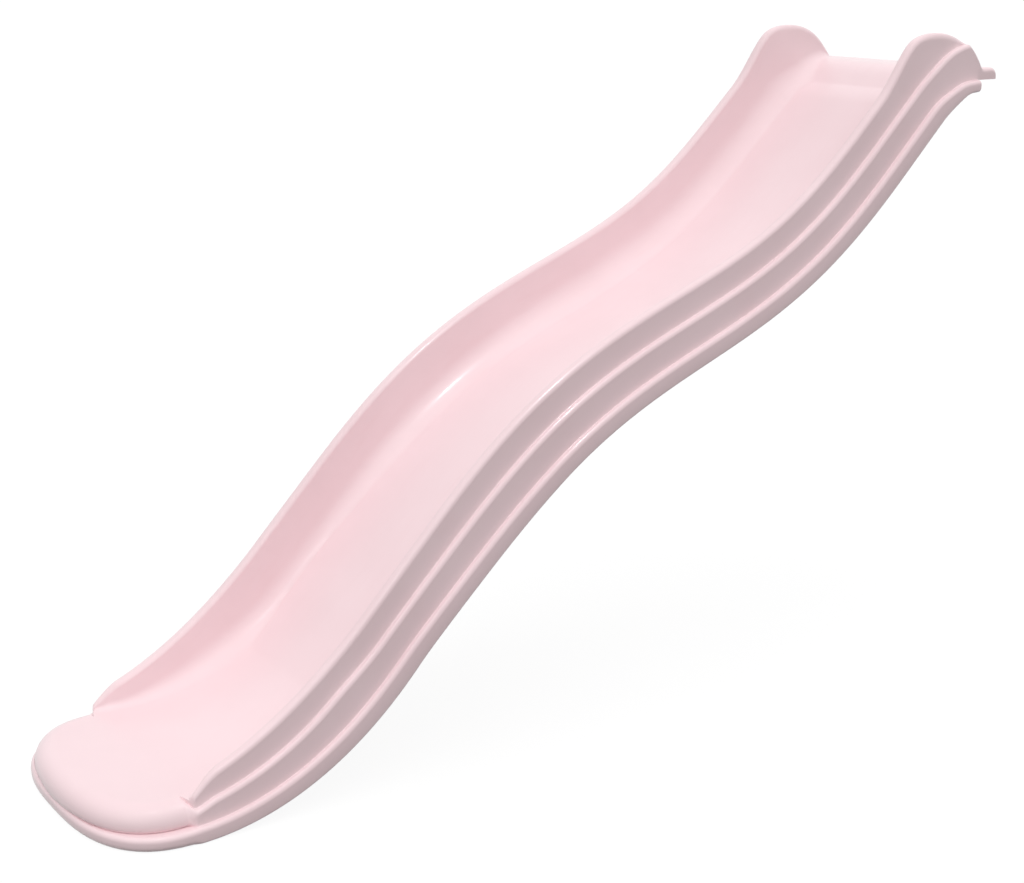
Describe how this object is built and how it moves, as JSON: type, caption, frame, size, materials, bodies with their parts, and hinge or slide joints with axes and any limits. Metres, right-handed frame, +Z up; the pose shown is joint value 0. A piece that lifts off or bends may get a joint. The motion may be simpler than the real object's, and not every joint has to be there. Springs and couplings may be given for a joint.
{
  "type": "playground wave slide",
  "caption": "Moulded plastic wave slide with raised side walls, a rounded run-out foot and a flat lip that screws down onto a play deck.",
  "frame": {"origin": "middle of the lip's flat underside, which rests on the play deck", "axes": "X across the slide, +Y towards the play deck and away from the foot, +Z up; the slide runs down towards -Y"},
  "size_m": [0.51, 1.9786, 1.2744],
  "materials": {
    "chute_polyethylene": "satin moulded polyethylene, coloured through",
    "underside_polyethylene": "satin moulded polyethylene, coloured through",
    "screw_steel_left": "plain stainless steel",
    "screw_steel_right": "plain stainless steel",
    "washer_steel_left": "plain stainless steel",
    "washer_steel_right": "plain stainless steel",
    "cap_plastic_left": "moulded polyethylene, matched to the chute",
    "cap_plastic_right": "moulded polyethylene, matched to the chute",
    "drain_plug_lower_rubber": "soft black rubber",
    "drain_plug_upper_rubber": "soft black rubber"
  },
  "bodies": {
    "root": {"chute_shell": "chute_polyethylene", "underside_shell": "underside_polyethylene", "deck_screw_left": "screw_steel_left", "deck_screw_right": "screw_steel_right", "deck_washer_left": "washer_steel_left", "deck_washer_right": "washer_steel_right", "screw_cap_left": "cap_plastic_left", "screw_cap_right": "cap_plastic_right", "drain_plug_lower": "drain_plug_lower_rubber", "drain_plug_upper": "drain_plug_upper_rubber"}
  },
  "joints": []
}
